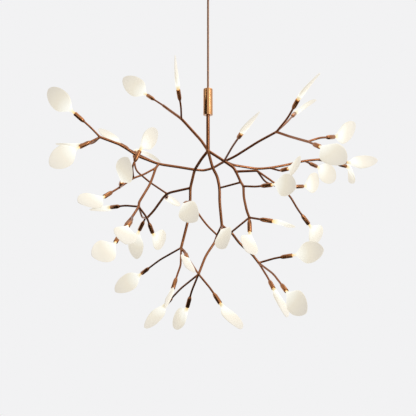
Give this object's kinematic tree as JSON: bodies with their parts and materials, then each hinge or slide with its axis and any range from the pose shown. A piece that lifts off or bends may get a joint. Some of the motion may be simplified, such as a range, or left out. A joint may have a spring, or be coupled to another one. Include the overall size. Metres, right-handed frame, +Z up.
{
  "type": "branch chandelier",
  "caption": "Branch chandelier: thin copper rods fork from a hanging ferrule and end in small sockets with lit frosted leaf lenses.",
  "frame": {"origin": "on the ceiling, at the centre of the ceiling plate's upper face, on the cord's line", "axes": "+Z up, +X to the right seen from the front, +Y away from the front; the lamp hangs along -Z"},
  "size_m": [0.7513, 0.4566, 0.8264],
  "materials": {
    "copper": "copper-plated, satin, darker along the shaded sides",
    "bright_copper": "polished and lightly brushed copper",
    "canopy_copper": "satin copper lacquer",
    "cord": "copper-coloured sheath",
    "zinc": "zinc-plated",
    "driver_white": "moulded, fine texture",
    "black_nylon": "moulded nylon",
    "led": "white board with a warm LED",
    "leaf": "frosted, lit from the neck"
  },
  "bodies": {
    "mount": {"ceiling_plate": "zinc", "led_driver": "driver_white", "cord_grip": "black_nylon", "suspension_cord": "cord", "ferrule_tube": "bright_copper", "ferrule_ring": "bright_copper", "cord_clamp": "zinc"},
    "cover": {"canopy_cover": "canopy_copper", "canopy_collar": "bright_copper", "collar_screw": "zinc"},
    "frame": {"stem": "copper", "middle_limb": "copper", "hanging_limb": "copper", "left_limb": "copper", "low_left_limb": "copper", "right_limb": "copper", "front_limb": "copper", "sockets": "copper", "led_boards": "led", "leaf_01": "leaf", "leaf_02": "leaf", "leaf_03": "leaf", "leaf_04": "leaf", "leaf_05": "leaf", "leaf_06": "leaf", "leaf_07": "leaf", "leaf_08": "leaf", "leaf_09": "leaf", "leaf_10": "leaf", "leaf_11": "leaf", "leaf_12": "leaf", "leaf_13": "leaf", "leaf_14": "leaf", "leaf_15": "leaf", "leaf_16": "leaf", "leaf_17": "leaf", "leaf_18": "leaf", "leaf_19": "leaf", "leaf_20": "leaf", "leaf_21": "leaf", "leaf_22": "leaf", "leaf_23": "leaf", "leaf_24": "leaf", "leaf_25": "leaf", "leaf_26": "leaf", "leaf_27": "leaf", "leaf_28": "leaf", "leaf_29": "leaf", "leaf_30": "leaf", "leaf_31": "leaf", "leaf_32": "leaf", "leaf_33": "leaf", "leaf_34": "leaf", "leaf_35": "leaf", "leaf_36": "leaf", "leaf_37": "leaf", "leaf_38": "leaf", "leaf_39": "leaf", "leaf_40": "leaf", "leaf_41": "leaf"}
  },
  "joints": [
    {"name": "cover_slide", "type": "slide", "parent": "mount", "child": "cover", "axis": [0, 0, -1], "range_m": [0, 0.12]},
    {"name": "frame_swivel", "type": "hinge", "parent": "mount", "child": "frame", "pos_m": [0, 0, -0.351], "axis": [0, 0, 1], "range_deg": [-175, 175]}
  ]
}
